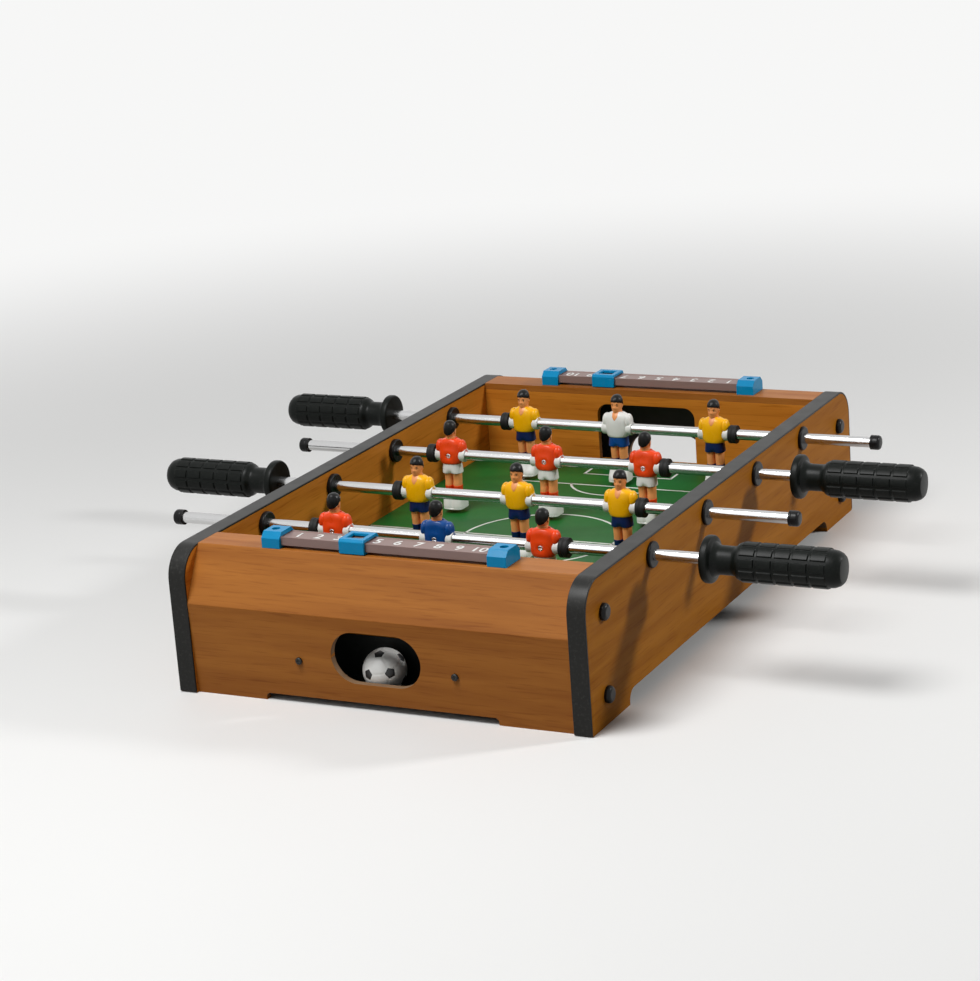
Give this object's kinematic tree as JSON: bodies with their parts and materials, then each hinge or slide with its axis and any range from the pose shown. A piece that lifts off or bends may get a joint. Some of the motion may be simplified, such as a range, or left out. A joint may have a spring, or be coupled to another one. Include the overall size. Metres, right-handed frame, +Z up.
{
  "type": "tabletop foosball table",
  "caption": "Tabletop foosball table: wood-look cabinet, green playfield, rods of players that slide and spin, handles, goals with ball trays and sliding score counters.",
  "frame": {"origin": "centre of the table's outline, on the surface it stands on", "axes": "+X along the rods to the right, +Y from the front goal to the rear goal, +Z up"},
  "size_m": [0.5786, 0.508, 0.1155],
  "materials": {
    "wood_laminate": "printed wood-grain wrap, satin",
    "black_edging": "extruded edge strip, satin",
    "raw_timber": "sawn softwood",
    "playfield_print": "green printed hardboard with white pitch lines, semi-gloss",
    "black_plastic": "moulded black plastic, satin",
    "screw_steel": "zinc-plated steel",
    "counter_strip": "printed plastic strip with white numbers",
    "counter_blue": "glossy blue moulding",
    "ball_plastic": "white ball with black spots",
    "rod_steel": "bright chromed tube",
    "grip_plastic": "black moulded grip",
    "bumper_rubber": "matt black rubber",
    "red_plastic": "painted red moulding",
    "yellow_plastic": "painted yellow moulding",
    "blue_plastic": "painted blue moulding",
    "white_plastic": "painted white moulding"
  },
  "bodies": {
    "cabinet": {"side_panel_left": "wood_laminate", "side_panel_right": "wood_laminate", "end_shell_front": "wood_laminate", "end_shell_rear": "wood_laminate", "goal_wall_front": "wood_laminate", "goal_wall_rear": "wood_laminate", "edge_band_left": "black_edging", "edge_band_right": "black_edging", "corner_blocks": "raw_timber", "playfield": "playfield_print", "screw_caps": "black_plastic", "bushing_sleeves": "black_plastic", "bushing_rings": "black_plastic", "ball_tray_front": "black_plastic", "ball_tray_rear": "black_plastic", "cabinet_screws": "screw_steel", "tray_screws": "screw_steel", "counter_screws": "screw_steel", "counter_bar_front": "counter_strip", "counter_bar_rear": "counter_strip", "counter_blocks_front": "counter_blue", "counter_blocks_rear": "counter_blue"},
    "red_goal_carriage": {"red_goal_bumpers": "bumper_rubber"},
    "red_goal_bar": {"red_goal_rod": "rod_steel", "red_goal_handle": "grip_plastic", "red_goal_end_cap": "black_plastic", "red_goal_man_left": "red_plastic", "red_goal_keeper": "blue_plastic", "red_goal_man_right": "red_plastic", "red_goal_man_screws": "screw_steel"},
    "yellow_attack_carriage": {"yellow_attack_bumpers": "bumper_rubber"},
    "yellow_attack_bar": {"yellow_attack_rod": "rod_steel", "yellow_attack_handle": "grip_plastic", "yellow_attack_end_cap": "black_plastic", "yellow_attack_man_left": "yellow_plastic", "yellow_attack_man_centre": "yellow_plastic", "yellow_attack_man_right": "yellow_plastic", "yellow_attack_man_screws": "screw_steel"},
    "red_attack_carriage": {"red_attack_bumpers": "bumper_rubber"},
    "red_attack_bar": {"red_attack_rod": "rod_steel", "red_attack_handle": "grip_plastic", "red_attack_end_cap": "black_plastic", "red_attack_man_left": "red_plastic", "red_attack_man_centre": "red_plastic", "red_attack_man_right": "red_plastic", "red_attack_man_screws": "screw_steel"},
    "yellow_goal_carriage": {"yellow_goal_bumpers": "bumper_rubber"},
    "yellow_goal_bar": {"yellow_goal_rod": "rod_steel", "yellow_goal_handle": "grip_plastic", "yellow_goal_end_cap": "black_plastic", "yellow_goal_man_left": "yellow_plastic", "yellow_goal_keeper": "white_plastic", "yellow_goal_man_right": "yellow_plastic", "yellow_goal_man_screws": "screw_steel"},
    "front_marker": {"score_marker_front": "counter_blue"},
    "front_ball": {"ball_front": "ball_plastic"},
    "rear_marker": {"score_marker_rear": "counter_blue"},
    "rear_ball": {"ball_rear": "ball_plastic"}
  },
  "joints": [
    {"name": "red_goal_push", "type": "slide", "parent": "cabinet", "child": "red_goal_carriage", "axis": [1, 0, 0], "range_m": [-0.03498, 0.04282]},
    {"name": "red_goal_spin", "type": "hinge", "parent": "red_goal_carriage", "child": "red_goal_bar", "pos_m": [-0.00392, -0.1455, 0.0885], "axis": [1, 0, 0], "continuous": true},
    {"name": "yellow_attack_push", "type": "slide", "parent": "cabinet", "child": "yellow_attack_carriage", "axis": [1, 0, 0], "range_m": [-0.04948, 0.02832]},
    {"name": "yellow_attack_spin", "type": "hinge", "parent": "yellow_attack_carriage", "child": "yellow_attack_bar", "pos_m": [0.01058, -0.0485, 0.0885], "axis": [1, 0, 0], "continuous": true},
    {"name": "red_attack_push", "type": "slide", "parent": "cabinet", "child": "red_attack_carriage", "axis": [1, 0, 0], "range_m": [-0.02714, 0.05066]},
    {"name": "red_attack_spin", "type": "hinge", "parent": "red_attack_carriage", "child": "red_attack_bar", "pos_m": [-0.01176, 0.0485, 0.0885], "axis": [1, 0, 0], "continuous": true},
    {"name": "yellow_goal_push", "type": "slide", "parent": "cabinet", "child": "yellow_goal_carriage", "axis": [1, 0, 0], "range_m": [-0.04282, 0.03498]},
    {"name": "yellow_goal_spin", "type": "hinge", "parent": "yellow_goal_carriage", "child": "yellow_goal_bar", "pos_m": [0.00392, 0.1455, 0.0885], "axis": [1, 0, 0], "continuous": true},
    {"name": "front_score_slide", "type": "slide", "parent": "cabinet", "child": "front_marker", "axis": [1, 0, 0], "range_m": [-0.045, 0.09]},
    {"name": "front_ball_roll", "type": "slide", "parent": "cabinet", "child": "front_ball", "axis": [1, 0, 0], "range_m": [-0.0405, 0.0515]},
    {"name": "rear_score_slide", "type": "slide", "parent": "cabinet", "child": "rear_marker", "axis": [1, 0, 0], "range_m": [-0.03, 0.105]},
    {"name": "rear_ball_roll", "type": "slide", "parent": "cabinet", "child": "rear_ball", "axis": [1, 0, 0], "range_m": [-0.0515, 0.0405]}
  ]
}
